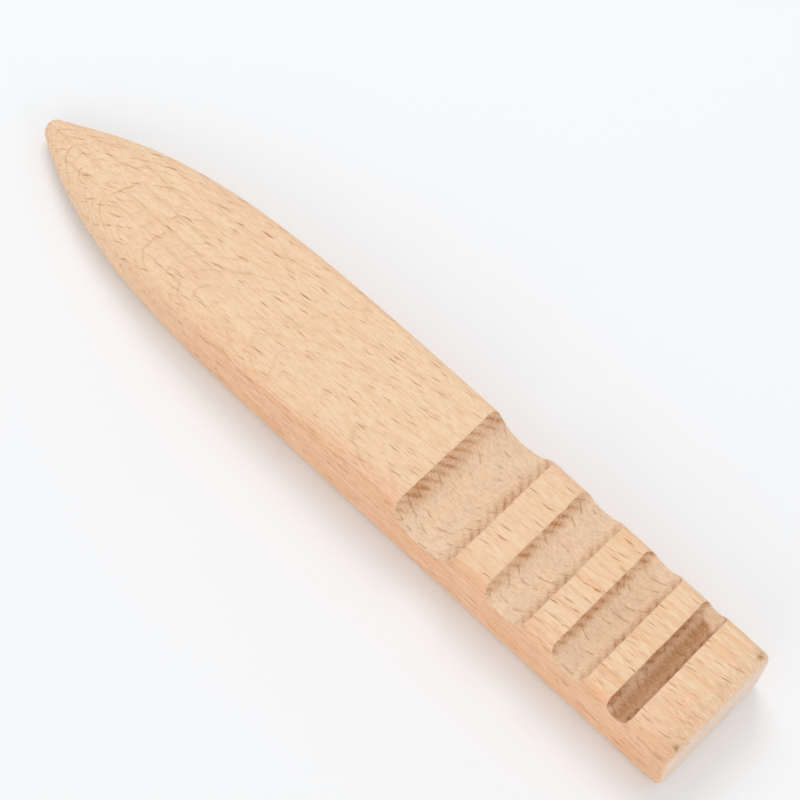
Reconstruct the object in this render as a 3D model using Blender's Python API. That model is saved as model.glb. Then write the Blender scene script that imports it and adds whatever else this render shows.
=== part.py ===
"""Wood edge slicker: one solid length of beech with a pointed nose and four edge-rounding grooves.

+X runs from the nose to the butt, +Z is up and the origin is under the middle of the tool, on the plane
that it rests on. Every size that can be set by itself is a named value below, in metres.
"""

from math import acos, cos, pi, radians, sin, sqrt

import bmesh
import bpy
from mathutils import Vector

# The blank, before the nose and the grooves are cut.
LENGTH = 0.160
WIDTH = 0.027
THICKNESS = 0.0138
EDGE_RADIUS = 0.0025
BUTT_RADIUS = 0.0020

# The nose. Its width and its top fall away from the blank's size towards the tip, each as a power of the
# distance left to where it starts, and its underside rises in the same way.
OUTLINE_RUN = 0.0900
OUTLINE_POWER = 4.8
TIP_WIDTH = 0.0025
TOP_RUN = 0.0960
TOP_POWER = 2.1
TIP_TOP = 0.0052
UNDERSIDE_RUN = 0.0500
UNDERSIDE_POWER = 1.5
TIP_UNDERSIDE = 0.0014

# The tip is closed by a small round cap. The section's corners grow from the blank's edge radius into a
# full ellipse over the last stretch before it.
TIP_CAP = 0.0011
ROUNDED_RUN = 0.0440
ROUNDED_POWER = 2.0

# The grooves, from the nose to the butt: width and depth of each, the lands between them, and the land
# left between the last one and the butt.
GROOVE_SIZES = (
    (0.0137, 0.00494),
    (0.0091, 0.00305),
    (0.0077, 0.00273),
    (0.0047, 0.00246),
)
GROOVE_LANDS = (0.0071, 0.0059, 0.0052)
BUTT_LAND = 0.0101
CUTTER_OVERRUN = 0.004
SMALLEST_CORNER = 0.0002

# How finely the round stretches are cut into flats, and how much closer the sections stand near the tip.
CORNER_STEPS = 7
BUTT_STEPS = 6
TIP_STEPS = 6
NOSE_STEPS = 34
NOSE_CROWDING = 1.35
GROOVE_STEPS = 20
SMOOTH_ANGLE = radians(30)

BEECH_COLOUR = (0.84, 0.62, 0.40, 1.0)
BEECH_ROUGHNESS = 0.55

NOSE_X = -LENGTH / 2
BUTT_X = LENGTH / 2


def clear_scene():
    """Remove every object that the scene starts with."""
    for thing in list(bpy.data.objects):
        bpy.data.objects.remove(thing, do_unlink=True)


def beech_material():
    """Plain sanded beech."""
    material = bpy.data.materials.new("beech")
    material.use_nodes = True
    shader = material.node_tree.nodes["Principled BSDF"]
    shader.inputs["Base Color"].default_value = BEECH_COLOUR
    shader.inputs["Roughness"].default_value = BEECH_ROUGHNESS
    shader.inputs["Metallic"].default_value = 0.0
    material.diffuse_color = BEECH_COLOUR
    return material


def towards_tip(distance, blank_value, tip_value, run, power):
    """A size at a distance from the tip: the blank's own value from the run on, less before it."""
    share_left = max(0.0, 1.0 - distance / run)
    return blank_value - (blank_value - tip_value) * share_left**power


def nose_section(distance):
    """Half width, underside, top and corner radii of the section at a distance from the tip."""
    half_width = towards_tip(distance, WIDTH / 2, TIP_WIDTH / 2, OUTLINE_RUN, OUTLINE_POWER)
    top = towards_tip(distance, THICKNESS, TIP_TOP, TOP_RUN, TOP_POWER)
    bottom = towards_tip(distance, 0.0, TIP_UNDERSIDE, UNDERSIDE_RUN, UNDERSIDE_POWER)
    if distance < TIP_CAP:
        closing = sqrt(max(0.0, 1.0 - (1.0 - distance / TIP_CAP) ** 2))
        middle = (top + bottom) / 2
        half_width *= closing
        top = middle + (top - middle) * closing
        bottom = middle + (bottom - middle) * closing
    half_height = (top - bottom) / 2
    roundness = max(0.0, 1.0 - distance / ROUNDED_RUN) ** ROUNDED_POWER
    side_radius = min(EDGE_RADIUS, half_width)
    flat_radius = min(EDGE_RADIUS, half_height)
    side_radius += (half_width - side_radius) * roundness
    flat_radius += (half_height - flat_radius) * roundness
    return half_width, bottom, top, side_radius, flat_radius


def section_ring(x, half_width, bottom, top, side_radius, flat_radius):
    """Points round one section: four quarter ellipses, joined by straight stretches."""
    corners = (
        (half_width - side_radius, bottom + flat_radius, -pi / 2),
        (half_width - side_radius, top - flat_radius, 0.0),
        (-half_width + side_radius, top - flat_radius, pi / 2),
        (-half_width + side_radius, bottom + flat_radius, pi),
    )
    ring = []
    for centre_y, centre_z, start in corners:
        for step in range(CORNER_STEPS + 1):
            angle = start + step * pi / 2 / CORNER_STEPS
            y = centre_y + side_radius * cos(angle)
            z = centre_z + flat_radius * sin(angle)
            ring.append(Vector((x, y, z)))
    return ring


def nose_distances():
    """Where sections are taken: close together at the tip, and further apart along the nose."""
    steps = [TIP_CAP * (1.0 - cos(pi / 2 * step / TIP_STEPS)) for step in range(1, TIP_STEPS + 1)]
    run = max(OUTLINE_RUN, TOP_RUN)
    for step in range(1, NOSE_STEPS + 1):
        share = step / NOSE_STEPS
        steps.append(TIP_CAP + (run - TIP_CAP) * share**NOSE_CROWDING)
    return steps


def butt_rings():
    """Sections that round the butt's edge over, each one set in from the blank's own section."""
    rings = []
    for step in range(BUTT_STEPS + 1):
        angle = step * pi / 2 / BUTT_STEPS
        inset = BUTT_RADIUS * (1.0 - cos(angle))
        x = BUTT_X - BUTT_RADIUS + BUTT_RADIUS * sin(angle)
        radius = max(SMALLEST_CORNER, EDGE_RADIUS - inset)
        rings.append(section_ring(x, WIDTH / 2 - inset, inset, THICKNESS - inset, radius, radius))
    return rings


def body_mesh():
    """The ungrooved body: section rings bridged from the tip to the butt, with both ends closed."""
    rings = [section_ring(NOSE_X + distance, *nose_section(distance)) for distance in nose_distances()]
    rings += butt_rings()
    tip = Vector((NOSE_X, 0.0, (TIP_TOP + TIP_UNDERSIDE) / 2))
    model = bmesh.new()
    loops = []
    for ring in rings:
        loops.append([model.verts.new(point) for point in ring])
    count = len(loops[0])
    for near, far in zip(loops, loops[1:]):
        for index in range(count):
            following = (index + 1) % count
            model.faces.new((near[index], near[following], far[following], far[index]))
    tip_vert = model.verts.new(tip)
    for index in range(count):
        model.faces.new((tip_vert, loops[0][(index + 1) % count], loops[0][index]))
    model.faces.new(loops[-1])
    bmesh.ops.recalc_face_normals(model, faces=model.faces)
    mesh = bpy.data.meshes.new("slicker_body")
    model.to_mesh(mesh)
    model.free()
    return mesh


def groove_places():
    """Centre, width and depth of each groove, laid out from the butt with the lands between them."""
    places = []
    far_edge = BUTT_X - BUTT_LAND
    for (width, depth), land in zip(reversed(GROOVE_SIZES), (*reversed(GROOVE_LANDS), 0.0)):
        places.append((far_edge - width / 2, width, depth))
        far_edge -= width + land
    return places[::-1]


def groove_profile(width, depth):
    """Half widths and heights along a groove's floor: an arc, with straight walls above a full half round."""
    if depth < width / 2:
        radius = (width**2 / 4 + depth**2) / (2 * depth)
        reach = acos((radius - depth) / radius)
    else:
        radius = width / 2
        reach = pi / 2
    floor = THICKNESS - depth
    points = []
    for step in range(GROOVE_STEPS + 1):
        angle = reach * (2 * step / GROOVE_STEPS - 1)
        points.append((radius * sin(angle), floor + radius * (1 - cos(angle))))
    return points


def groove_cutter(name, centre_x, width, depth):
    """A bar with the groove's section, which runs right across the tool and stands proud of its top."""
    outline = groove_profile(width, depth)
    proud = THICKNESS + CUTTER_OVERRUN
    outline = [(-width / 2, proud), *outline, (width / 2, proud)]
    side = WIDTH / 2 + CUTTER_OVERRUN
    model = bmesh.new()
    verts = [model.verts.new((centre_x + across, -side, height)) for across, height in outline]
    face = model.faces.new(verts)
    swept = bmesh.ops.extrude_face_region(model, geom=[face])
    moved = [item for item in swept["geom"] if isinstance(item, bmesh.types.BMVert)]
    bmesh.ops.translate(model, vec=(0.0, 2 * side, 0.0), verts=moved)
    bmesh.ops.recalc_face_normals(model, faces=model.faces)
    mesh = bpy.data.meshes.new(name)
    model.to_mesh(mesh)
    model.free()
    cutter = bpy.data.objects.new(name, mesh)
    cutter.hide_render = True
    cutter.display_type = "WIRE"
    bpy.context.scene.collection.objects.link(cutter)
    return cutter


def slicker_body():
    """The whole tool: the pointed body with the four grooves cut across its top face."""
    mesh = body_mesh()
    mesh.materials.append(beech_material())
    body = bpy.data.objects.new("slicker_body", mesh)
    bpy.context.scene.collection.objects.link(body)
    for number, (centre_x, width, depth) in enumerate(groove_places(), start=1):
        cutter = groove_cutter(f"groove_cutter_{number}", centre_x, width, depth)
        cut = body.modifiers.new(f"groove_{number}", "BOOLEAN")
        cut.operation = "DIFFERENCE"
        cut.solver = "EXACT"
        cut.object = cutter
    mesh.shade_smooth()
    mesh.set_sharp_from_angle(angle=SMOOTH_ANGLE)
    return body


clear_scene()
slicker_body()
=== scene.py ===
"""Wood edge slicker in sanded beech: the finished tool, its wood and a plain studio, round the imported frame.

The tool is one closed surface. Its points are set out on a grid that follows the top of the tool from the
nose to the butt, and are then drawn onto the surface where a smooth field is zero. The field joins the body,
the flats that sanding left on its nose, the four grooves and the marks of the cutter that made them. Lengths
are in metres, +X runs from the nose to the butt and +Z is up out of the grooved face.
"""

from math import cos, pi, radians, sin

import bpy
import numpy as np
from bpy.props import FloatProperty, FloatVectorProperty
from mathutils import Matrix, Vector


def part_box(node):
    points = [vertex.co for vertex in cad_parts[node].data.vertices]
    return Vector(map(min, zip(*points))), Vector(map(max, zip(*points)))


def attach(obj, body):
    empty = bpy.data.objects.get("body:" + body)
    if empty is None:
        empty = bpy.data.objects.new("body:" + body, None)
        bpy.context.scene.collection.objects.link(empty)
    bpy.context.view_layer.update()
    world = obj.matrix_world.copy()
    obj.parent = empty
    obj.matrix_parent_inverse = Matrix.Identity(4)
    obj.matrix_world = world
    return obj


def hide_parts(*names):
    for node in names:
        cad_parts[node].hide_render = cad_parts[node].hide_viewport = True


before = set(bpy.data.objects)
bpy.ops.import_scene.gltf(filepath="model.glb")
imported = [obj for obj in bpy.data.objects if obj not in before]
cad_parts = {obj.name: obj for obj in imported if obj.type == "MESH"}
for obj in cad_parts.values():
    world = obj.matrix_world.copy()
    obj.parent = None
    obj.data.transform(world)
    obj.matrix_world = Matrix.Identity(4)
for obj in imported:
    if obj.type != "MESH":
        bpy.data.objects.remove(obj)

bl_info = {
    "name": "Wood Edge Slicker",
    "version": (1, 0, 0),
    "blender": (4, 5, 0),
    "location": "View3D > Sidebar > Slicker",
    "description": "Builds a beech edge slicker with a pointed nose and four edge-rounding grooves",
    "category": "Add Mesh",
}

NODE = "slicker_body"
BODY = "root"
MM = 0.001
COLOUR = {"size": 3, "min": 0.0, "max": 1.0, "subtype": "COLOR"}
FLOAT = "NodeSocketFloat"
VECTOR = "NodeSocketVector"

BOX_LOW, BOX_HIGH = (np.array(corner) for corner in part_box(NODE))
NOSE_X = float(BOX_LOW[0])
BUTT_X = float(BOX_HIGH[0])
HALF_WIDTH = float(BOX_HIGH[1])
THICKNESS = float(BOX_HIGH[2])

# The blank's rounded edges, and the nose, which falls away towards the tip as powers of the distance left.
EDGE_RADIUS = 2.5 * MM
BUTT_RADIUS = 1.4 * MM
OUTLINE_RUN = 90 * MM
OUTLINE_POWER = 4.8
TIP_HALF_WIDTH = 1.25 * MM
TOP_RUN = 96 * MM
TOP_POWER = 2.1
TIP_TOP = 5.2 * MM
UNDERSIDE_RUN = 50 * MM
UNDERSIDE_POWER = 1.5
TIP_UNDERSIDE = 1.4 * MM
TIP_CAP = 1.1 * MM
ROUNDED_RUN = 44 * MM
ROUNDED_POWER = 2.0

# Width and depth of each groove from the nose to the butt, the lands between them, and the land at the butt.
GROOVE_SIZES = ((13.7 * MM, 4.94 * MM), (9.1 * MM, 3.05 * MM), (7.7 * MM, 2.73 * MM), (4.7 * MM, 2.46 * MM))
GROOVE_LANDS = (7.1 * MM, 5.9 * MM, 5.2 * MM)
BUTT_LAND = 10.1 * MM

# Painted shadow inside each groove, and painted shade with scorch on its walls towards the nose and the butt.
GROOVE_PAINTED_SHADOW = (0.0, 0.04, 0.16, 1.0)
NOSE_WALL_SHADE_AND_SCORCH = (0.38, 0.46, 0.54, 0.66)
BUTT_WALL_SHADE_AND_SCORCH = (0.30, 0.36, 0.46, 0.34)

# The sanded flats: their skew, their place across, where they end, over what run they fade, and the reach of
# the painted shade along their ridges.
FLAT_SKEW = 0.045
FLAT_SHIFT = 0.4 * MM
FLATS_END = 66 * MM
FLATS_FADE = 40 * MM
RIDGE_REACH = 0.20 * MM

# The cutter's marks: their slant up a wall and the rounding of its start, how far they wander, the height
# at which they neither cut nor leave wood, their strength on the floor, and how rough and crooked walls are.
MARK_SLANT = 0.9
MARK_BEND = 0.35
MARK_WANDER = 0.40 * MM
MARK_LEVEL = 0.62
MARK_ON_FLOOR = 0.20
WALL_ROUGHNESS = 0.024 * MM
WALL_CROOKEDNESS = 0.04 * MM

# The hand-sanded surface's slow and quick waves, and how far in they are set to stay inside the blank.
SLOW_WAVE = 0.022 * MM
QUICK_WAVE = 0.006 * MM
WAVE_INSET = 0.028 * MM

# How many grid lines go across the top, down each side, under the tool, round the butt and over its end.
TOP_ROWS = 110
SIDE_ROWS = 38
UNDER_ROWS = 14
BUTT_COLUMNS = 13
END_RINGS = 12

# Spacing of the lines that go round the tool: in the grooves, on the lands, along the nose, and at the tip
# and a groove's edge, from which it grows by a share of the distance.
GROOVE_SPACING = 0.27 * MM
LAND_SPACING = 0.46 * MM
NOSE_SPACING = 0.72 * MM
TIP_SPACING = 0.03 * MM
TIP_GROWTH = 0.10
EDGE_SPACING = 0.10 * MM
EDGE_GROWTH = 0.22

# How finely the top's profile is traced, how the rows down a side spread out, over how many columns their
# spacing is evened, and the least radius of a section's corners at the butt.
PATH_STEP = 0.05 * MM
SIDE_GROWTH = 1.8
EVEN_WINDOW = 17
LEAST_RADIUS = 0.2 * MM

# How many steps draw the points onto the surface, and the longest that one may be.
NEWTON_STEPS = 5
LONGEST_STEP = 0.3 * MM


def eye(*colour):
    """A colour as the eye sees it made linear, with full alpha: a straight foot, then a power of 2.4."""
    channels = [value / 12.92 if value <= 0.04045 else ((value + 0.055) / 1.055) ** 2.4 for value in colour]
    return (*channels, 1.0)


# Colours of the sanded wood, of the milled wood, and of the board.
SANDED = eye(0.968, 0.842, 0.706)
HONEY = eye(0.930, 0.765, 0.600)
PINK = eye(0.945, 0.770, 0.655)
LATEWOOD = eye(0.760, 0.555, 0.400)
# The growth rings' dark line, also used for the painted shade along the nose's ridges.
RING_LINE_AND_RIDGE_SHADE = eye(0.755, 0.515, 0.330)
FLECK = eye(0.690, 0.400, 0.210)
FIBRE = eye(0.890, 0.690, 0.515)
# Painted shade with a painted warm reflection, for the sides and most of all the near side.
SIDE_SHADE_AND_REFLECTION = eye(0.955, 0.740, 0.585)
WARM = eye(0.935, 0.715, 0.520)
TORN_EDGE = eye(0.760, 0.510, 0.310)
# Pale end grain, made paler and greyer by a painted reflection of the white surroundings.
END_GRAIN_SHEEN = eye(0.925, 0.850, 0.790)
WORN = eye(0.815, 0.680, 0.560)
BRUISE = eye(0.580, 0.430, 0.250)
MILLED = eye(0.975, 0.855, 0.735)
MILLED_GREY = eye(0.905, 0.800, 0.690)
NAP_SHADE = eye(0.800, 0.650, 0.515)
# The cutter's scorched marks with the painted shade on the groove walls, then the painted shadow inside the
# grooves and where it falls on the marks.
SCORCH_AND_SHADE = eye(0.735, 0.500, 0.305)
GROOVE_SHADOW_TINT = eye(0.790, 0.672, 0.570)
SHADOWED_MARK_TINT = eye(0.560, 0.345, 0.200)
BOARD = eye(0.975, 0.985, 0.995)
BOARD_SHADE = eye(0.970, 0.980, 0.990)


class SlickerShape(bpy.types.PropertyGroup):
    """Sizes of the finished surface that the CAD solid doesn't hold."""

    arris: FloatProperty(
        name="Arris", description="How far the softened edges of the grooves reach",
        default=0.00036, min=0.0001, unit="LENGTH")
    feed_pitch: FloatProperty(
        name="Feed pitch", description="Distance between two marks that the groove cutter left",
        default=0.0021, min=0.0005, unit="LENGTH")
    feed_depth: FloatProperty(
        name="Feed depth", description="How deep the cutter's marks are on the walls of the grooves",
        default=0.00017, min=0.0, unit="LENGTH")
    facet_width: FloatProperty(
        name="Facet width", description="Width of the flats that sanding left along the nose",
        default=0.0031, min=0.001, unit="LENGTH")
    facet_depth: FloatProperty(
        name="Facet depth", description="How far the middle of a sanded flat lies inside the round nose",
        default=0.00007, min=0.0, unit="LENGTH")
    crown: FloatProperty(
        name="Butt crown", description="How far the end face falls back at its upper edge and its corners",
        default=0.0006, min=0.0, unit="LENGTH")


class BeechColours(bpy.types.PropertyGroup):
    """The wood's colours."""

    sanded: FloatVectorProperty(
        name="Sanded beech", description="Colour of the sanded faces",
        default=SANDED[:3], **COLOUR)
    milled: FloatVectorProperty(
        name="Milled beech", description="Colour of the rougher wood inside the grooves",
        default=MILLED[:3], **COLOUR)
    fleck: FloatVectorProperty(
        name="Fleck", description="Colour of the short dark flecks",
        default=FLECK[:3], **COLOUR)


class StudioSettings(bpy.types.PropertyGroup):
    """Camera and lights."""

    lens: FloatProperty(
        name="Lens", description="Focal length in millimetres on a 36 mm sensor",
        default=131.62, min=10.0)
    azimuth: FloatProperty(
        name="Azimuth", description="Turn of the camera round the tool",
        default=radians(29.16), subtype="ANGLE")
    elevation: FloatProperty(
        name="Elevation", description="Height of the camera above the horizon",
        default=radians(64.16), subtype="ANGLE")
    roll: FloatProperty(
        name="Roll", description="Turn of the camera about its own line of sight",
        default=radians(15.6), subtype="ANGLE")
    distance: FloatProperty(
        name="Distance", description="From the camera to the point it looks at",
        default=0.5074, min=0.1, unit="LENGTH")
    aim: FloatVectorProperty(
        name="Aim", description="The point that the camera looks at",
        default=(0.00235, 0.00480, 0.00700), size=3, subtype="TRANSLATION")
    daylight: FloatProperty(
        name="Surrounding light", description="Strength of the even light from all round",
        default=0.68, min=0.0)
    fill_power: FloatProperty(
        name="Fill lights", description="Power in watts of each soft light, near side and butt side",
        default=1.4, min=0.0)
    key_power: FloatProperty(
        name="Key light", description="Power in watts of the large soft light on the nose side",
        default=2.7, min=0.0)


def towards_tip(distance, blank_value, tip_value, run, power):
    """A size at a distance from the tip: the blank's own from the run on, and less by a power before it."""
    share_left = np.clip(1.0 - distance / run, 0.0, None)
    return blank_value - (blank_value - tip_value) * share_left**power


def body_section(x):
    """Half width, middle height, half height and corner radii (across, up) of the body at x.

    The corners grow from the edge radius into a full ellipse near the tip, and the last millimetre closes
    as a round cap does, by the square root of one less the square of the distance left.
    """
    distance = np.maximum(x - NOSE_X, 1e-7)
    half_width = towards_tip(distance, HALF_WIDTH, TIP_HALF_WIDTH, OUTLINE_RUN, OUTLINE_POWER)
    top = towards_tip(distance, THICKNESS, TIP_TOP, TOP_RUN, TOP_POWER)
    bottom = towards_tip(distance, 0.0, TIP_UNDERSIDE, UNDERSIDE_RUN, UNDERSIDE_POWER)
    middle = (top + bottom) / 2
    share = np.clip(distance / TIP_CAP, 0.0, 1.0)
    closing = np.sqrt(1.0 - (1.0 - share) ** 2)
    half_width = half_width * closing
    half_height = (top - bottom) / 2 * closing
    roundness = np.clip(1.0 - distance / ROUNDED_RUN, 0.0, 1.0) ** ROUNDED_POWER
    side_radius = np.minimum(EDGE_RADIUS, half_width)
    flat_radius = np.minimum(EDGE_RADIUS, half_height)
    side_radius = side_radius + (half_width - side_radius) * roundness
    flat_radius = flat_radius + (half_height - flat_radius) * roundness
    return half_width, middle, half_height, side_radius, flat_radius


def soft_step(value):
    """Zero below 0, one above 1, and a smooth S between them: three times the square less twice the cube."""
    value = np.clip(value, 0.0, 1.0)
    return value * value * (3.0 - 2.0 * value)


def ripple(a, b, c, size, seed):
    """A smooth unruly wave of about -1 to 1: a third of the sum of seven sines in seeded directions."""
    chance = np.random.default_rng(seed)
    total = np.zeros(np.broadcast(a, b, c).shape)
    for direction in chance.normal(size=(7, 3)):
        direction = direction / np.linalg.norm(direction)
        along = a * direction[0] + b * direction[1] + c * direction[2]
        wave = size * chance.uniform(0.7, 1.5)
        total = total + np.sin(along * 2 * pi / wave + chance.uniform(0, 2 * pi))
    return total / 3.0


def soft_larger(first, second, reach):
    """The larger of two fields, with the edge where they meet rounded off over the reach."""
    overlap = np.clip(reach - np.abs(first - second), 0.0, None) / reach
    return np.maximum(first, second) + overlap * overlap * reach / 4


def flat_place(x, y, z, middle, shape):
    """Where a point lies across its sanded flat, from 0 to 1, and how strong the flats are there.

    The ridges between flats run slightly askew to the tool. The flats are full near the tip, fade out along
    the body and towards both flanks, and lie on the upper half only.
    """
    lane = (y + FLAT_SKEW * (x - NOSE_X) + FLAT_SHIFT) / shape.facet_width
    lane = lane + 0.12 * ripple(x, y * 0, z * 0, 45 * MM, 4)
    fade = soft_step((FLATS_END - (x - NOSE_X)) / FLATS_FADE) * soft_step((z - middle) / (1.5 * MM))
    flank = 1.05 - np.abs(y) / body_section(x)[0]
    return lane - np.floor(lane), fade * soft_step(flank / 0.45)


def sanded_flats(x, y, z, middle, shape):
    """Depth of the long flats on the nose: a parabola from ridge to ridge."""
    within, fade = flat_place(x, y, z, middle, shape)
    return shape.facet_depth * 4.0 * within * (1.0 - within) * fade


def ridge_shade_line(x, y, z, shape):
    """How near a point is to one of the ridges between two flats, for painted shade along them: a bell
    curve of its distance, in broken runs.
    """
    middle = body_section(x)[1]
    within, fade = flat_place(x, y, z, middle, shape)
    nearest = np.minimum(within, 1.0 - within) * shape.facet_width
    broken = 0.65 + 0.5 * ripple(x, y, z * 0, 14 * MM, 5)
    return np.exp(-((nearest / RIDGE_REACH) ** 2)) * fade * np.clip(broken, 0.0, 1.0)


def bruises(points):
    """Two small dents' marks at the butt's upper corners: bell curves round their middles."""
    far_corner = np.array([BUTT_X - 1.9 * MM, HALF_WIDTH - 1.9 * MM, THICKNESS - 0.5 * MM])
    near_corner = np.array([BUTT_X - 1.5 * MM, -HALF_WIDTH + 2.7 * MM, THICKNESS - 0.5 * MM])
    total = np.zeros(len(points))
    for middle in (far_corner, near_corner):
        away = (points - middle) / np.array([0.55 * MM, 0.75 * MM, 0.9 * MM])
        total = total + np.exp(-(away**2).sum(1))
    return total


def small_waves(x, y, z):
    """The slight unevenness of hand-sanded wood: slow waves, longer along the grain than across it."""
    slow = ripple(x * 0.3, y, z, 9 * MM, 11) * SLOW_WAVE
    quick = ripple(x * 0.25, y, z, 2.6 * MM, 12) * QUICK_WAVE
    return slow + quick + WAVE_INSET


def body_field(x, y, z, shape):
    """Roughly the distance outside the body before its grooves: a rounded section met by a rounded end.

    The end face falls back with the square of the height and, a tenth as much, with that of the width.
    """
    half_width, middle, half_height, side_radius, flat_radius = body_section(x)
    across = (np.abs(y) - (half_width - side_radius)) / side_radius
    up = (np.abs(z - middle) - (half_height - flat_radius)) / flat_radius
    gauge = np.hypot(np.maximum(across, 0.0), np.maximum(up, 0.0)) + np.minimum(np.maximum(across, up), 0.0)
    side = (gauge - 1.0) * flat_radius
    side = side + sanded_flats(x, y, z, middle, shape) + small_waves(x, y, z)
    fall = (z / THICKNESS) ** 2 + 0.10 * (y / HALF_WIDTH) ** 2
    end = x - BUTT_X + shape.crown * fall * 0.75 + 0.03 * MM * (1 + ripple(x * 0, y, z, 5 * MM, 21))
    side_in = side + BUTT_RADIUS
    end_in = end + BUTT_RADIUS
    outside = np.hypot(np.maximum(side_in, 0.0), np.maximum(end_in, 0.0))
    return outside + np.minimum(np.maximum(side_in, end_in), 0.0) - BUTT_RADIUS


def grooves():
    """Centre, half width, radius and axis height of each groove, laid out from the butt.

    A groove shallower than half its width is an arc, whose radius is the square of the half width over twice
    the depth, plus half the depth. A deeper one is a half round with straight walls above it.
    """
    found = []
    far_edge = BUTT_X - BUTT_LAND
    for (width, depth), land in zip(reversed(GROOVE_SIZES), (*reversed(GROOVE_LANDS), 0.0)):
        radius = (width**2 / 4 + depth**2) / (2 * depth) if depth < width / 2 else width / 2
        found.append((far_edge - width / 2, width / 2, radius, THICKNESS - depth + radius))
        far_edge -= width + land
    return found[::-1]


def feed_mark(x, y, z, groove, number, shape):
    """Where a point lies between two of the cutter's marks, and how strong they are there.

    A mark runs level over a groove's floor and slants towards the near side up both walls: it falls back by
    the slant times the way round the arc, past a rounded start. Between two marks the wood is hollowed as
    the size of a sine. The marks are faint on the floor and strong on the walls.
    """
    centre, half_width, radius, axis = groove
    across = x - centre
    turn = np.arctan2(across, np.maximum(axis - z, 0.001 * MM))
    fall_back = MARK_SLANT * radius * (np.hypot(turn, MARK_BEND) - MARK_BEND)
    wander = MARK_WANDER * ripple(across * 0.4, y, y * 0, 11 * MM, 30 + number)
    phase = (y + fall_back + wander) / shape.feed_pitch + 0.37 * number
    hollow = np.abs(np.sin(pi * phase))
    on_wall = soft_step((np.abs(across) / half_width - 0.30) / 0.50)
    wall = MARK_ON_FLOOR + (1.0 - MARK_ON_FLOOR) * on_wall
    strength = 0.80 + 0.35 * ripple(across * 0.2, y, y * 0, 5.3 * MM, 40 + number)
    return hollow, wall * strength


def groove_field(x, y, z, groove, number, shape):
    """Roughly the distance into a groove's hollow: its radius less the distance from its axis.

    Above the axis of a full half round the walls stand straight up. The cutter's marks fade under the top.
    """
    centre, _, radius, axis = groove
    across = x - centre
    away = np.where(z < axis, np.hypot(across, z - axis), np.abs(across))
    hollow, strength = feed_mark(x, y, z, groove, number, shape)
    under_top = 0.25 + 0.75 * soft_step((THICKNESS - z) / (0.9 * MM))
    marks = shape.feed_depth * strength * (hollow - MARK_LEVEL) * under_top
    rough = WALL_ROUGHNESS * ripple(x, y, z, 1.7 * MM, 50 + number)
    crooked = WALL_CROOKEDNESS * ripple(x * 0, y, z * 0, 6 * MM, 60)
    return radius + marks + (rough + crooked) - away


def tool_field(points, shape):
    """The field of the whole tool: the body with the four grooves taken out, and softened edges."""
    x, y, z = points.T
    field = body_field(x, y, z, shape)
    for number, groove in enumerate(grooves()):
        field = soft_larger(field, groove_field(x, y, z, groove, number, shape), shape.arris)
    return field


def slope(points, shape):
    """The field's gradient, from its change over a hundredth of a millimetre each way along each axis."""
    step = 0.01 * MM
    parts = []
    for axis in np.eye(3) * step:
        parts.append(tool_field(points + axis, shape) - tool_field(points - axis, shape))
    return np.stack(parts, axis=1) / (2 * step)


def settle(points, shape):
    """Moves points onto the surface: short Newton steps down the gradient, which fade at the tip."""
    hold = soft_step((points[:, 0] - NOSE_X - 1.4 * MM) / (2.0 * MM))
    for _ in range(NEWTON_STEPS):
        gradient = slope(points, shape)
        field = tool_field(points, shape)
        move = -gradient * (field / np.maximum((gradient**2).sum(1), 1e-3))[:, None]
        length = np.linalg.norm(move, axis=1)
        move *= np.minimum(1.0, LONGEST_STEP / np.maximum(length, 1e-12))[:, None]
        points = points + move * hold[:, None]
    return points


def top_path():
    """The tool's sharp top profile, finely: its x and z, and the x of each groove edge."""
    xs = [np.array([NOSE_X])]
    zs = [np.array([(TIP_TOP + TIP_UNDERSIDE) / 2])]
    edges = []
    start = NOSE_X + 1e-6
    for centre, half_width, radius, axis in grooves():
        land = np.arange(start, centre - half_width, PATH_STEP)
        reach = np.arcsin(min(1.0, half_width / radius))
        angle = np.linspace(-reach, reach, 400)
        xs += [land, centre + radius * np.sin(angle)]
        middle, half_height = body_section(land)[1:3]
        zs += [middle + half_height, axis - radius * np.cos(angle)]
        edges += [centre - half_width, centre + half_width]
        start = centre + half_width
    last = np.arange(start, BUTT_X - BUTT_RADIUS, PATH_STEP)
    xs.append(np.append(last, BUTT_X - BUTT_RADIUS))
    zs.append(np.full(len(last) + 1, THICKNESS))
    return np.concatenate(xs), np.concatenate(zs), np.array(edges)


def top_columns():
    """x and z of each grid column, closer together at the tip, in the grooves and at their edges."""
    x, z, edges = top_path()
    length = np.concatenate([[0.0], np.cumsum(np.hypot(np.diff(x), np.diff(z)))])
    spacing = np.where(z < THICKNESS - 0.05 * MM, GROOVE_SPACING, LAND_SPACING)
    spacing = np.where(x < edges[0] - 2 * MM, NOSE_SPACING, spacing)
    spacing = np.minimum(spacing, TIP_SPACING + TIP_GROWTH * (x - NOSE_X))
    nearest = np.min(np.abs(x[:, None] - edges[None, :]) + np.abs(z - THICKNESS)[:, None], axis=1)
    spacing = np.minimum(spacing, EDGE_SPACING + EDGE_GROWTH * nearest)
    density = np.concatenate([[0.0], np.cumsum(np.diff(length) / ((spacing[1:] + spacing[:-1]) / 2))])
    count = int(round(density[-1]))
    wanted = np.interp(np.linspace(0.0, density[-1], count + 1)[1:], density, length)
    return np.interp(wanted, length, x), np.interp(wanted, length, z)


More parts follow.
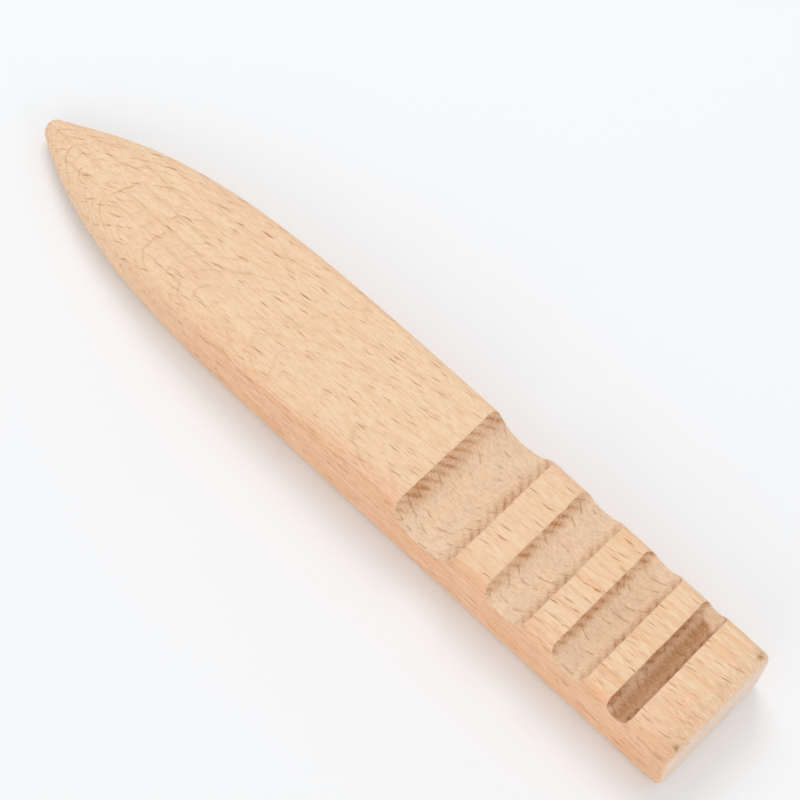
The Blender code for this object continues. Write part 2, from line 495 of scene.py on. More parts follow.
def side_outline(share, top, half_width, middle, half_height, side_radius, flat_radius):
    """Points down one side of a section, by share of the way from the height top to the flat underside.

    The way is part of a quarter ellipse, a straight stretch and a whole quarter ellipse. Lengths on an
    ellipse are taken from its mean radius.
    """
    corner_z = middle + half_height - flat_radius
    low_z = middle - half_height + flat_radius
    start = np.arccos(np.clip((top - corner_z) / flat_radius, 0.0, 1.0))
    straight_top = np.minimum(top, corner_z)
    mean_radius = (side_radius + flat_radius) / 2
    first = (pi / 2 - start) * mean_radius
    second = straight_top - low_z
    third = pi / 2 * mean_radius
    way = share * (first + second + third)
    angle = np.minimum(start + way / mean_radius, pi / 2)
    down = np.clip(way - first, 0.0, second)
    turn = np.clip((way - first - second) / mean_radius, 0.0, pi / 2)
    y = half_width - side_radius + side_radius * np.sin(angle) * np.cos(turn)
    on_corner = way < first
    z = np.where(on_corner, corner_z + flat_radius * np.cos(angle), straight_top - down)
    z = z - flat_radius * np.sin(turn)
    return y, z, way


def grid_points():
    """The grid: one ring of points round the tool for each column, from the tip to the middle of the butt.

    A ring goes across the top from the near side, down the far side, back under the tool and up the near
    side. Down the sides a column drifts from the place of its groove wall to an even spacing along the tool.
    Rows lie closer together towards the top's edges: there the 31st power slows the way across.
    """
    x, z = top_columns()
    turn = np.linspace(0.0, pi / 2, BUTT_COLUMNS + 1)[1:]
    inset = np.concatenate([np.zeros(len(x)), BUTT_RADIUS * (1.0 - np.cos(turn))])
    x = np.concatenate([x, BUTT_X - BUTT_RADIUS + BUTT_RADIUS * np.sin(turn)])
    z = np.concatenate([z, np.full(len(turn), THICKNESS)]) - inset
    padded = np.pad(x, EVEN_WINDOW // 2, mode="reflect", reflect_type="odd")
    even_x = np.convolve(padded, np.full(EVEN_WINDOW, 1.0 / EVEN_WINDOW), mode="valid")
    near_end = soft_step((x - (BUTT_X - BUTT_LAND)) / (4 * MM)) + soft_step((NOSE_X + 6 * MM - x) / (3 * MM))
    even_x = even_x + (x - even_x) * np.minimum(near_end, 1.0)
    half_width, middle, half_height, side_radius, flat_radius = body_section(x)
    half_width = half_width - inset
    half_height = half_height - inset
    side_radius = np.where(inset > 0, np.maximum(side_radius - inset, LEAST_RADIUS), side_radius)
    flat_radius = np.where(inset > 0, np.maximum(flat_radius - inset, LEAST_RADIUS), flat_radius)
    section = [part[:, None] for part in (half_width, middle, half_height, side_radius, flat_radius)]
    share = (np.exp(SIDE_GROWTH * np.arange(SIDE_ROWS + 1) / SIDE_ROWS) - 1) / (np.exp(SIDE_GROWTH) - 1)
    side_y, side_z, way = side_outline(share[None, :], z[:, None], *section)
    drift = soft_step(way / (6 * MM))
    side_x = x[:, None] + (even_x - x)[:, None] * drift
    across = np.linspace(-1.0, 1.0, TOP_ROWS)
    across = 1.02 * across - 0.02 * across**31
    top_y = side_y[:, :1] * across[None, :]
    top_x = np.broadcast_to(x[:, None], top_y.shape)
    top_z = np.broadcast_to(z[:, None], top_y.shape)
    under = np.linspace(1.0, -1.0, UNDER_ROWS + 2)[1:-1]
    under_y = side_y[:, -1:] * under[None, :]
    under_x = np.broadcast_to(side_x[:, -1:], under_y.shape)
    under_z = np.broadcast_to(side_z[:, -1:], under_y.shape)
    ring_x = np.hstack([top_x, side_x[:, 1:], under_x, side_x[:, :0:-1]])
    ring_y = np.hstack([top_y, side_y[:, 1:], under_y, -side_y[:, :0:-1]])
    ring_z = np.hstack([top_z, side_z[:, 1:], under_z, side_z[:, :0:-1]])
    rings = np.stack([ring_x, ring_y, ring_z], axis=2)
    centre = np.array([BUTT_X, 0.0, THICKNESS / 2])
    shrink = 1.0 - np.arange(1, END_RINGS + 1)[:, None, None] / (END_RINGS + 1.0)
    face = centre + (rings[-1][None, :, :] - centre) * shrink
    return np.concatenate([rings, face]), centre


def grid_faces(columns, rows):
    """Quads between neighbouring rings, and a fan of triangles at the tip and at the middle of the butt."""
    column = np.arange(columns - 1)[:, None]
    row = np.arange(rows)[None, :]
    following = (row + 1) % rows
    this, after = column * rows, (column + 1) * rows
    quads = np.stack([this + row, after + row, after + following, this + following], axis=2).reshape(-1, 4)
    row, following = row[0], following[0]
    tip = columns * rows
    nose_fan = np.stack([np.full(rows, tip), row, following], axis=1)
    last = (columns - 1) * rows
    butt_fan = np.stack([np.full(rows, tip + 1), last + following, last + row], axis=1)
    return quads, np.vstack([nose_fan, butt_fan])


def groove_masks(x, y, z, field, shape):
    """For each point: how much of it is groove, the cutter's marks over painted wall shade, the tears' own
    coordinate, and the painted shadow.

    The coordinate is the place along a groove in millimetres, bent by a parabola across it. The painted shadow
    starts past a ragged, slanting line near the far end, where light falls in, and fades up both walls.
    """
    milled, mark, tear, painted_groove_shadow = np.zeros((4, len(x)))
    for number, groove in enumerate(grooves()):
        centre, half_width = groove[:2]
        into = groove_field(x, y, z, groove, number, shape)
        inside = soft_step(0.5 + (into - field) / (0.30 * MM))
        milled = np.maximum(milled, inside)
        hollow, strength = feed_mark(x, y, z, groove, number, shape)
        across = (x - centre) / half_width
        # Painted shade on the walls, stronger on the nose-side wall, which faces the butt; the cutter's marks
        # lie over it.
        wall = soft_step((np.abs(across) - 0.48) / 0.44) * np.where(across < 0, 1.0, 0.80)
        wall_shade_and_scorch = np.where(across < 0, NOSE_WALL_SHADE_AND_SCORCH[number], BUTT_WALL_SHADE_AND_SCORCH[number])
        mark = np.maximum(mark, inside * wall * (wall_shade_and_scorch + 0.90 * (1.0 - hollow) ** 1.3) * strength)
        tear = tear + inside * (y + 1.3 * MM * (1.0 - across**2)) / MM
        # Painted shadow over the floor, ended near the far end by a ragged slanting line where light falls in,
        # and faded up both walls.
        ragged = 0.5 * MM * ripple(x, y * 0.6, z, 1.9 * MM, 70)
        shadowed = soft_step((HALF_WIDTH - 2.3 * MM - 0.75 * (x - centre) + ragged - y) / (1.3 * MM))
        shadowed = (0.22 + 0.78 * shadowed) * (1.0 - 0.88 * soft_step((0.05 - across) / 1.05))
        shadowed = shadowed * (1.0 - 0.42 * soft_step((across - 0.15) / 0.80))
        painted_groove_shadow = np.maximum(painted_groove_shadow, inside * shadowed * GROOVE_PAINTED_SHADOW[number])
    return milled, mark, tear, painted_groove_shadow


def mask_values(points, shape):
    """Each mask that the mesh carries, by name: smooth steps of the points' places and of their normals."""
    x, y, z = points.T
    milled, mark, tear, painted_groove_shadow = groove_masks(x, y, z, body_field(x, y, z, shape), shape)
    gradient = slope(points, shape)
    normal = gradient / np.maximum(np.linalg.norm(gradient, axis=1), 1e-9)[:, None]
    near_butt = soft_step((x - BUTT_X + 4 * MM) / (1 * MM))
    # The butt's end face: its end grain, and the painted reflection of the white surroundings on it.
    end = soft_step((normal[:, 0] - 0.50) / 0.42) * near_butt
    ragged = 0.45 * MM * ripple(x * 0, y, z, 2.2 * MM, 71)
    worn = soft_step((x + ragged - BUTT_X + 4.3 * MM) / (0.9 * MM)) * (1.0 - 0.4 * end)
    # Painted shade with a painted warm reflection on the sides, mostly the near one, with a band along the
    # near side; it also carries the sides' long streaks.
    side = np.abs(normal[:, 1]) * 1.1 - np.where(y > 0, 0.35, 0.0)
    near_band = 0.45 * soft_step((6.5 * MM - HALF_WIDTH - y) / (5 * MM))
    side = np.maximum(soft_step(side), near_band) * (1.0 - milled)
    behind_nose = soft_step((x + 58 * MM) / (45 * MM))
    second_groove = grooves()[1][0]
    return {
        "milled": milled,
        "end_grain_sheen": end,
        "worn_edge": worn,
        "side_shade_and_grain": side * behind_nose,
        "cutter_mark_and_wall_shade": np.clip(mark, 0.0, 1.0),
        "painted_groove_shadow": painted_groove_shadow,
        "tear_way": tear,
        "land": soft_step((x - second_groove + 6 * MM) / (3 * MM)) * (1.0 - side),
        "ridge_shade": ridge_shade_line(x, y, z, shape) * (1.0 - milled),
        "bruise": bruises(points),
    }


def slicker_mesh(shape):
    """The finished tool as a mesh, with its masks as attributes and grooves in the second material slot."""
    rings, centre = grid_points()
    columns, rows = rings.shape[:2]
    tip = np.array([NOSE_X, 0.0, (TIP_TOP + TIP_UNDERSIDE) / 2])
    points = settle(np.vstack([rings.reshape(-1, 3), tip[None, :], centre[None, :]]), shape)
    points = np.clip(points, BOX_LOW, BOX_HIGH)
    points[columns * rows] = tip
    quads, fans = grid_faces(columns, rows)
    masks = mask_values(points, shape)
    mesh = bpy.data.meshes.new("beech_slicker")
    mesh.vertices.add(len(points))
    mesh.vertices.foreach_set("co", points.astype(np.float32).ravel())
    corners = np.concatenate([quads.ravel(), fans.ravel()])
    sizes = np.concatenate([np.full(len(quads), 4), np.full(len(fans), 3)])
    starts = np.concatenate([[0], np.cumsum(sizes)[:-1]])
    mesh.loops.add(len(corners))
    mesh.loops.foreach_set("vertex_index", corners.astype(np.int32))
    mesh.polygons.add(len(sizes))
    mesh.polygons.foreach_set("loop_start", starts.astype(np.int32))
    in_groove = np.concatenate([masks["milled"][quads].mean(1) > 0.5, np.zeros(len(fans), bool)])
    mesh.polygons.foreach_set("material_index", in_groove.astype(np.int32))
    mesh.update(calc_edges=True)
    mesh.shade_smooth()
    for mask_name, values in masks.items():
        layer = mesh.attributes.new(mask_name, "FLOAT", "POINT")
        layer.data.foreach_set("value", values.astype(np.float32))
    if mesh.validate():
        raise RuntimeError("the slicker's surface has faulty faces")
    return mesh


class Wiring:
    """Adds nodes to one node tree and joins them, so that a material reads as a list of steps."""

    def __init__(self, tree):
        self.tree = tree
        self.count = 0

    def add(self, kind, values=None, **settings):
        """A new node of that kind, with its settings and the values or sources of its inputs."""
        node = self.tree.nodes.new(kind)
        node.location = (220 * (self.count // 5), -190 * (self.count % 5))
        self.count += 1
        for name, setting in settings.items():
            setattr(node, name, setting)
        self.join(node, values or {})
        return node

    def feed(self, value, socket):
        """Joins a source to an input, or sets the input to a plain value."""
        if isinstance(value, bpy.types.NodeSocket):
            self.tree.links.new(value, socket)
        else:
            socket.default_value = value

    def join(self, node, values):
        """Feeds several of a node's inputs, by name or by number."""
        for name, value in values.items():
            self.feed(value, node.inputs[name])

    def sum(self, operation, first, second=0.0):
        """The result of one step of arithmetic."""
        return self.add("ShaderNodeMath", {0: first, 1: second}, operation=operation).outputs[0]

    def times(self, first, second):
        """One value multiplied by another."""
        return self.sum("MULTIPLY", first, second)

    def line(self, value, slope_by, start):
        """A value times a slope, plus a start."""
        values = {0: value, 1: slope_by, 2: start}
        return self.add("ShaderNodeMath", values, operation="MULTIPLY_ADD").outputs[0]

    def pair(self, operation, first, second):
        """The result of one step of arithmetic on two vectors."""
        return self.add("ShaderNodeVectorMath", {0: first, 1: second}, operation=operation).outputs[0]

    def scaled(self, vector, factors):
        """A vector with each of its parts multiplied."""
        return self.pair("MULTIPLY", vector, factors)

    def ramp(self, value, low, high):
        """A value as a share of the way from low to high, smoothed at both ends."""
        node = self.add("ShaderNodeMapRange", {"Value": value, "From Min": low, "From Max": high})
        node.interpolation_type = "SMOOTHSTEP"
        return node.outputs["Result"]

    def blend(self, share, first, second, blend_type="MIX"):
        """A colour between two, by a share that is held between 0 and 1."""
        node = self.add("ShaderNodeMix", data_type="RGBA", blend_type=blend_type)
        self.join(node, {"Factor": share, 6: first, 7: second})
        return node.outputs[2]

    def tint(self, colour, mask, amount, towards):
        """A colour turned towards another by a mask times an amount."""
        return self.blend(self.times(mask, amount), colour, towards)

    def noise(self, place, factors, detail=2.0, roughness=0.5):
        """Soft noise of about 0 to 1, one unit across once the place is multiplied by the factors."""
        vector = self.scaled(place, factors)
        values = {"Vector": vector, "Scale": 1.0, "Detail": detail, "Roughness": roughness}
        return self.add("ShaderNodeTexNoise", values).outputs["Fac"]

    def mask(self, name):
        """A mask that the mesh carries."""
        return self.add("ShaderNodeAttribute", attribute_name=name, attribute_type="GEOMETRY").outputs["Fac"]

    def place(self):
        """A point's own place, in metres."""
        return self.add("ShaderNodeTexCoord").outputs["Object"]

    def group(self, group, values):
        """The outputs of one use of a shared group."""
        return self.add("ShaderNodeGroup", values, node_tree=group).outputs

    def bump(self, height, strength, distance, shader):
        """Gives a shader its normal from a height."""
        node = self.add("ShaderNodeBump", {"Height": height, "Strength": strength, "Distance": distance})
        self.feed(node.outputs["Normal"], shader.inputs["Normal"])


def new_group(name, inputs, outputs):
    """An empty node group with those inputs and outputs, the wiring for it, and its two end nodes."""
    group = bpy.data.node_groups.new(name, "ShaderNodeTree")
    for end, sockets in (("INPUT", inputs), ("OUTPUT", outputs)):
        for socket_name, kind in sockets:
            group.interface.new_socket(socket_name, in_out=end, socket_type=kind)
    wire = Wiring(group)
    return group, wire, wire.add("NodeGroupInput").outputs, wire.add("NodeGroupOutput")


def grain_space_group():
    """Turns a place in the tool, in metres, into the tree's own terms, in millimetres.

    The pith runs above the grooved face, slightly askew. The outputs are the place with the axis along
    the fibres, the same with the slant of the ray flecks, which grows towards the tip, the place as
    (along, around, out from the pith), and the distance out by itself.
    """
    group, wire, given, result = new_group(
        "grain_space",
        [("Place", VECTOR)],
        [("Along Grain", VECTOR), ("Along Rays", VECTOR), ("From Pith", VECTOR), ("Out", FLOAT)],
    )
    place = wire.scaled(given["Place"], (1000.0, 1000.0, 1000.0))
    parts = wire.add("ShaderNodeSeparateXYZ", {"Vector": place})
    along, side, up = (parts.outputs[name] for name in "XYZ")
    wander = wire.line(wire.noise(place, (0.035, 0.11, 0.11)), 1.1, -0.55)
    across = wire.sum("SUBTRACT", side, wire.line(along, -0.04, -8.0))
    below = wire.sum("SUBTRACT", wire.line(along, -0.045, THICKNESS / MM + 28.0), up)
    squared = wire.sum("ADD", wire.times(across, across), wire.times(below, below))
    out = wire.sum("ADD", wire.sum("SQRT", squared), wander)
    around = wire.times(wire.sum("ARCTAN2", across, below), 28.0)
    from_pith = wire.add("ShaderNodeCombineXYZ", {"X": along, "Y": around, "Z": out})
    skewed = wire.sum("ADD", side, wire.line(along, -0.055, 0.0))
    along_grain = wire.add("ShaderNodeCombineXYZ", {"X": along, "Y": skewed, "Z": up})
    on_nose = wire.sum("MAXIMUM", wire.line(along, -1.0, -40.0), 0.0)
    shiver = wire.noise(place, (0.40, 0.9, 0.9), 1.0)
    slant = wire.sum("ADD", wire.line(along, -0.145, 0.0), wire.line(shiver, 0.80, 0.0))
    slant = wire.sum("ADD", slant, wire.times(wire.times(on_nose, on_nose), 0.0065))
    slanted = wire.sum("ADD", side, slant)
    along_rays = wire.add("ShaderNodeCombineXYZ", {"X": along, "Y": slanted, "Z": up})
    places = {"Along Grain": along_grain, "Along Rays": along_rays, "From Pith": from_pith}
    wire.join(result, {name: node.outputs[0] for name, node in places.items()} | {"Out": out})
    return group


def growth_ring_group():
    """Growth rings: a soft rise through each year, and a thin dark line close to its end.

    Each ring has its own strength, and breaks up along its length.
    """
    group, wire, given, result = new_group(
        "growth_rings",
        [("From Pith", VECTOR), ("Out", FLOAT), ("Ring Width", FLOAT)],
        [("Latewood", FLOAT), ("Line", FLOAT)],
    )
    years = wire.sum("DIVIDE", given["Out"], given["Ring Width"])
    share = wire.sum("FRACT", years)
    year = wire.sum("FLOOR", years)
    chance = wire.add("ShaderNodeTexWhiteNoise", {"W": year}, noise_dimensions="1D").outputs["Value"]
    patchy = wire.noise(given["From Pith"], (0.16, 0.36, 1.7), 1.0)
    strength = wire.times(wire.ramp(chance, -0.5, 0.7), wire.ramp(patchy, 0.45, 0.56))
    latewood = wire.times(wire.sum("POWER", share, 3.0), chance)
    line = wire.times(wire.ramp(share, 0.76, 0.92), wire.ramp(share, 1.0, 0.93))
    wire.join(result, {"Latewood": latewood, "Line": wire.times(line, strength)})
    return group


def fleck_group():
    """Ray flecks: one thin lens in each cell of a scattered pattern, some cells having none.

    A point's mask falls from the lens's middle to its rim, by its distance in half sizes of the lens.
    """
    group, wire, given, result = new_group(
        "flecks",
        [("Along Rays", VECTOR), ("Spacing", VECTOR), ("Half Size", VECTOR), ("Share", FLOAT)],
        [("Fleck", FLOAT)],
    )
    cells = wire.pair("DIVIDE", given["Along Rays"], given["Spacing"])
    voronoi = wire.add("ShaderNodeTexVoronoi", {"Vector": cells, "Scale": 1.0})
    chance = wire.add("ShaderNodeSeparateColor", {"Color": voronoi.outputs["Color"]})
    away = wire.pair("SUBTRACT", cells, voronoi.outputs["Position"])
    away = wire.pair("DIVIDE", wire.pair("MULTIPLY", away, given["Spacing"]), given["Half Size"])
    length = wire.add("ShaderNodeVectorMath", {0: away}, operation="LENGTH").outputs["Value"]
    size = wire.line(chance.outputs[2], 0.6, 0.55)
    inside = wire.ramp(wire.sum("DIVIDE", length, size), 1.0, 0.20)
    chosen = wire.sum("LESS_THAN", chance.outputs[0], given["Share"])
    depth = wire.line(chance.outputs[1], 0.55, 0.45)
    wire.join(result, {"Fleck": wire.times(wire.times(inside, chosen), depth)})
    return group


def fibre_group():
    """Fine fibres, longer ones, slow streaks and slower clouds, all stretched along the grain."""
    names = ("Fibre", "Long Fibre", "Streak", "Cloud")
    group, wire, given, result = new_group(
        "fibres",
        [("Along Grain", VECTOR)],
        [(name, FLOAT) for name in names],
    )
    place = given["Along Grain"]
    fibre = wire.noise(place, (0.50, 2.7, 2.7), 4.0, 0.72)
    long_fibre = wire.noise(place, (0.15, 1.8, 2.4), 4.0, 0.70)
    streak = wire.noise(place, (0.05, 0.9, 0.9), 3.0, 0.6)
    cloud = wire.noise(place, (0.022, 0.10, 0.10))
    wire.join(result, dict(zip(names, (fibre, long_fibre, streak, cloud))))
    return group


def torn_nap_group():
    """The torn surface that a cutter leaves: fine specks, slow patches, and a few thin curved tears.

    A tear lies at every 2.3 mm or so of its own coordinate, which bends across a groove and wanders, and
    shows only in the patches where a slow noise is high.
    """
    group, wire, given, result = new_group(
        "torn_nap",
        [("Along Grain", VECTOR), ("Tear Way", FLOAT)],
        [("Nap", FLOAT), ("Tear", FLOAT), ("Patch", FLOAT)],
    )
    place = given["Along Grain"]
    nap = wire.noise(place, (0.9, 2.2, 2.2), 4.0, 0.68)
    drift = wire.line(wire.noise(place, (0.16, 0.16, 0.16), 1.0), 2.6, 0.0)
    way = wire.sum("DIVIDE", wire.sum("ADD", given["Tear Way"], drift), 2.3)
    share = wire.sum("FRACT", way)
    thin = wire.times(wire.ramp(share, 0.36, 0.48), wire.ramp(share, 0.56, 0.49))
    broken = wire.ramp(wire.noise(place, (0.42, 0.50, 0.42), 1.0), 0.53, 0.62)
    patch = wire.noise(place, (0.25, 0.25, 0.25), 3.0, 0.6)
    wire.join(result, {"Nap": nap, "Tear": wire.times(thin, broken), "Patch": patch})
    return group


def shared_groups():
    """The node groups that the finishes use, each built once."""
    return {
        "space": grain_space_group(),
        "rings": growth_ring_group(),
        "flecks": fleck_group(),
        "fibres": fibre_group(),
        "nap": torn_nap_group(),
    }


def ring_masks(wire, groups, space):
    """The growth rings of the slicker's beech, a little over half a millimetre each."""
    values = {"From Pith": space["From Pith"], "Out": space["Out"], "Ring Width": 0.55}
    return wire.group(groups["rings"], values)


def fleck_mask(wire, groups, place, spacing, half_size, share):
    """One layer of flecks: the size of its cells, the flecks' half size, and the share of cells with one."""
    values = {"Along Rays": place, "Spacing": spacing, "Half Size": half_size, "Share": share}
    return wire.group(groups["flecks"], values)["Fleck"]


def new_material(name, roughness, specular):
    """A material with its Principled shader, the wiring for it, and the shader itself."""
    material = bpy.data.materials.new(name)
    material.use_nodes = True
    shader = material.node_tree.nodes["Principled BSDF"]
    shader.inputs["Roughness"].default_value = roughness
    shader.inputs["Specular IOR Level"].default_value = specular
    return material, Wiring(material.node_tree), shader


def sanded_beech(groups, colours):
    """Sanded beech: honey and pink streaks, growth rings, dark ray flecks, fine fibres and painted shade on
    the nose's ridges.

    The near side is deeper and warmer in colour, painted shade with a painted warm reflection, the lands
    between the grooves are warmer and slightly torn, and the butt has pale end grain, paled further by a
    painted reflection of the white surroundings, inside a worn and frayed edge with two bruises.
    """
    material, wire, shader = new_material("sanded_beech", 0.55, 0.30)
    place = wire.place()
    space = wire.group(groups["space"], {"Place": place})
    grain, rays = space["Along Grain"], space["Along Rays"]
    rings = ring_masks(wire, groups, space)
    dashes = fleck_mask(wire, groups, rays, (4.6, 1.05, 1.3), (1.9, 0.17, 0.65), 0.88)
    specks = fleck_mask(wire, groups, grain, (2.4, 0.70, 0.8), (1.1, 0.13, 0.40), 0.80)
    tears = fleck_mask(wire, groups, rays, (4.2, 1.5, 1.6), (1.9, 0.19, 0.80), 0.70)
    fibres = wire.group(groups["fibres"], {"Along Grain": grain})
    nap = wire.group(groups["nap"], {"Along Grain": grain, "Tear Way": 0.0})["Nap"]
    side, land, worn_edge = (wire.mask(name) for name in ("side_shade_and_grain", "land", "worn_edge"))
    fleck = (*colours.fleck, 1.0)

    colour = wire.tint((*colours.sanded, 1.0), wire.ramp(fibres["Streak"], 0.42, 0.75), 0.50, HONEY)
    colour = wire.tint(colour, wire.ramp(fibres["Cloud"], 0.46, 0.66), 0.35, PINK)
    deeper = wire.line(wire.ramp(fibres["Streak"], 0.35, 0.65), 0.50, 0.34)
    # Painted shade with a painted warm reflection on the near side.
    colour = wire.tint(colour, side, deeper, SIDE_SHADE_AND_REFLECTION)
    colour = wire.tint(colour, wire.ramp(fibres["Fibre"], 0.44, 0.66), 0.48, FIBRE)
    on_side = wire.times(wire.ramp(fibres["Long Fibre"], 0.50, 0.66), side)
    colour = wire.tint(colour, on_side, 0.55, TORN_EDGE)
    colour = wire.tint(colour, rings["Latewood"], 0.14, LATEWOOD)
    along = wire.add("ShaderNodeSeparateXYZ", {"Vector": place}).outputs["X"]
    on_nose = wire.line(wire.ramp(along, -0.026, -0.054), 0.26, 0.13)
    colour = wire.tint(colour, rings["Line"], on_nose, RING_LINE_AND_RIDGE_SHADE)
    # Painted shade along the ridges between the nose's sanded flats.
    colour = wire.tint(colour, wire.mask("ridge_shade"), 0.30, RING_LINE_AND_RIDGE_SHADE)
    colour = wire.tint(colour, specks, 0.30, fleck)
    warm = wire.times(land, wire.ramp(fibres["Streak"], 0.40, 0.66))
    warm = wire.times(warm, wire.line(worn_edge, -0.9, 1.0))
    colour = wire.tint(colour, warm, 0.34, WARM)
    colour = wire.tint(colour, dashes, wire.line(side, -0.50, 0.85), fleck)
    on_lands = wire.times(tears, wire.times(land, 0.62))
    colour = wire.blend(on_lands, colour, TORN_EDGE)
    # Pale end grain with a painted reflection of the white surroundings.
    colour = wire.tint(colour, wire.mask("end_grain_sheen"), wire.line(nap, -3.2, 2.40), END_GRAIN_SHEEN)
    worn = wire.times(worn_edge, wire.ramp(nap, 0.42, 0.62))
    colour = wire.tint(colour, worn, 0.42, WORN)
    colour = wire.tint(colour, wire.mask("bruise"), wire.ramp(nap, 0.30, 0.55), BRUISE)
    wire.feed(colour, shader.inputs["Base Color"])

    relief = wire.sum("SUBTRACT", wire.sum("SUBTRACT", fibres["Fibre"], dashes), on_lands)
    frayed = wire.times(wire.times(worn_edge, nap), 1.6)
    wire.bump(wire.sum("ADD", relief, frayed), 0.50, 0.00012, shader)
    gloss = wire.add("ShaderNodeMapRange", {"Value": fibres["Fibre"], "To Min": 0.48, "To Max": 0.66})
    wire.feed(gloss.outputs[0], shader.inputs["Roughness"])
    return material


def milled_beech(groups, colours):
    """Beech as the groove cutter left it: torn and greyer, with scorched marks on painted wall shade, thin
    tears and painted shadow.
    """
    material, wire, shader = new_material("milled_beech", 0.80, 0.15)
    space = wire.group(groups["space"], {"Place": wire.place()})
    grain = space["Along Grain"]
    rings = ring_masks(wire, groups, space)
    nap = wire.group(groups["nap"], {"Along Grain": grain, "Tear Way": wire.mask("tear_way")})
    specks = fleck_mask(wire, groups, grain, (1.6, 0.55, 0.55), (0.7, 0.08, 0.30), 0.7)

    colour = wire.tint((*colours.milled, 1.0), wire.ramp(nap["Patch"], 0.36, 0.66), 0.40, MILLED_GREY)
    colour = wire.tint(colour, rings["Latewood"], 0.12, LATEWOOD)
    colour = wire.tint(colour, wire.ramp(nap["Nap"], 0.38, 0.72), 0.46, NAP_SHADE)
    colour = wire.tint(colour, specks, 0.16, (*colours.fleck, 1.0))
    # The cutter's marks in a scorched colour, over painted shade across the walls.
    rough_mark = wire.line(wire.ramp(nap["Nap"], 0.30, 0.60), 0.5, 0.5)
    mark = wire.times(wire.mask("cutter_mark_and_wall_shade"), rough_mark)
    colour = wire.tint(colour, mark, 0.95, SCORCH_AND_SHADE)
    # Painted shadow in the grooves: a streaky darkening multiply, and a darker brown where it falls on the
    # marks.
    threads = wire.noise(grain, (0.8, 4.0, 4.0), 2.0, 0.6)
    shadow_streaks = wire.line(wire.ramp(threads, 0.34, 0.62), 0.34, 0.78)
    painted_groove_shadow = wire.mask("painted_groove_shadow")
    colour = wire.blend(wire.times(painted_groove_shadow, shadow_streaks), colour, GROOVE_SHADOW_TINT, "MULTIPLY")
    colour = wire.tint(colour, wire.times(mark, painted_groove_shadow), 0.55, SHADOWED_MARK_TINT)
    colour = wire.tint(colour, nap["Tear"], 0.42, SCORCH_AND_SHADE)
    wire.feed(colour, shader.inputs["Base Color"])
    wire.bump(wire.sum("SUBTRACT", nap["Nap"], nap["Tear"]), 0.60, 0.00022, shader)
    return material


def floor_material():
    """Matt white board with the faintest unevenness."""
    material, wire, shader = new_material("white_board", 0.9, 0.1)
    mottle = wire.noise(wire.place(), (30.0, 30.0, 30.0))
    wire.feed(wire.blend(mottle, BOARD, BOARD_SHADE), shader.inputs["Base Color"])
    return material


def link(thing):
    """Puts an object into the scene."""
    bpy.context.scene.collection.objects.link(thing)
    return thing


def area_light(name, towards, size, power, colour=(1.0, 1.0, 1.0)):
    """A square soft light that stands a metre away in a direction from the tool and faces it."""
    lamp = bpy.data.lights.new(name, "AREA")
    lamp.shape = "SQUARE"
    lamp.size = size
    lamp.energy = power
    lamp.color = colour
    light = link(bpy.data.objects.new(name, lamp))
    direction = Vector(towards).normalized()
    light.location = direction
    light.rotation_mode = "QUATERNION"
    light.rotation_quaternion = direction.to_track_quat("Z", "Y")


class SLICKER_OT_body(bpy.types.Operator):
    """Build the finished beech slicker in place of its CAD solid"""

    bl_idname = "slicker.body"
    bl_label = "Slicker"

    def execute(self, context):
        scene = context.scene
        mesh = slicker_mesh(scene.slicker_shape)
        groups = shared_groups()
        for finish in (sanded_beech, milled_beech):
            mesh.materials.append(finish(groups, scene.slicker_colours))
        tool = link(bpy.data.objects.new(mesh.name, mesh))
        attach(tool, BODY)
        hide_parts(NODE)
        return {"FINISHED"}


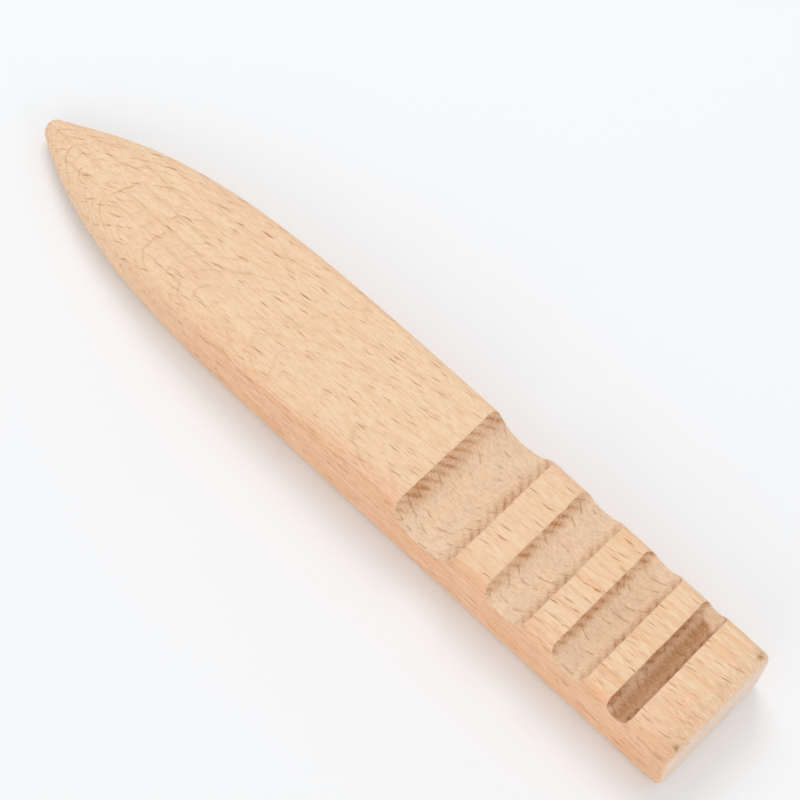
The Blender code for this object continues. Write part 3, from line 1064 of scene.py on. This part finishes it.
class SLICKER_OT_stage(bpy.types.Operator):
    """Set the tool on a plain floor in soft light, with the camera above its near side"""

    bl_idname = "slicker.stage"
    bl_label = "Studio"

    def execute(self, context):
        scene = context.scene
        studio = scene.slicker_studio
        half = 2.0
        board = bpy.data.meshes.new("floor")
        corners = [(-half, -half, 0.0), (half, -half, 0.0), (half, half, 0.0), (-half, half, 0.0)]
        board.from_pydata(corners, [], [(0, 1, 2, 3)])
        board.materials.append(floor_material())
        link(bpy.data.objects.new("floor", board))
        world = bpy.data.worlds.new("studio")
        world.use_nodes = True
        daylight = world.node_tree.nodes["Background"].inputs
        daylight["Color"].default_value = (1.0, 1.0, 1.0, 1.0)
        daylight["Strength"].default_value = studio.daylight
        scene.world = world
        area_light("key_light", (-0.45, 0.35, 0.82), 0.50, studio.key_power)
        area_light("near_fill", (0.15, -0.85, 0.45), 0.60, studio.fill_power, (1.0, 0.86, 0.74))
        area_light("butt_fill", (0.90, -0.20, 0.35), 0.60, studio.fill_power)
        scene.view_settings.view_transform = "Standard"
        lens = bpy.data.cameras.new("camera")
        lens.sensor_width = 36.0
        lens.lens = studio.lens
        camera = link(bpy.data.objects.new("camera", lens))
        turn, rise = studio.azimuth, studio.elevation
        back = Vector((sin(turn) * cos(rise), -cos(turn) * cos(rise), sin(rise)))
        facing = back.to_track_quat("Z", "Y").to_matrix()
        facing = Matrix.Rotation(studio.roll, 3, back) @ facing
        stand = Matrix.Translation(Vector(studio.aim) + back * studio.distance)
        camera.matrix_world = stand @ facing.to_4x4()
        scene.camera = camera
        return {"FINISHED"}


class SLICKER_PT_panel(bpy.types.Panel):
    """The slicker's tools and settings"""

    bl_idname = "SLICKER_PT_panel"
    bl_label = "Wood Edge Slicker"
    bl_space_type = "VIEW_3D"
    bl_region_type = "UI"
    bl_category = "Slicker"

    def draw(self, context):
        column = self.layout.column()
        for operator in OPERATORS:
            column.operator(operator.bl_idname)
        for group in SETTINGS:
            settings = getattr(context.scene, group)
            box = column.box()
            for name in settings.__annotations__:
                box.prop(settings, name)


OPERATORS = (SLICKER_OT_body, SLICKER_OT_stage)
SETTINGS = {
    "slicker_shape": SlickerShape,
    "slicker_colours": BeechColours,
    "slicker_studio": StudioSettings,
}


def register():
    """Registers the settings, the operators and the panel."""
    for name, settings in SETTINGS.items():
        bpy.utils.register_class(settings)
        setattr(bpy.types.Scene, name, bpy.props.PointerProperty(type=settings))
    for shown in (*OPERATORS, SLICKER_PT_panel):
        bpy.utils.register_class(shown)


def unregister():
    """Takes them away again, last first."""
    for shown in (SLICKER_PT_panel, *reversed(OPERATORS)):
        bpy.utils.unregister_class(shown)
    for name, settings in reversed(SETTINGS.items()):
        delattr(bpy.types.Scene, name)
        bpy.utils.unregister_class(settings)


def main():
    """Builds the slicker and its studio."""
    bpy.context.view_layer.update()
    register()
    bpy.ops.slicker.body()
    bpy.ops.slicker.stage()


if __name__ == "__main__":
    main()
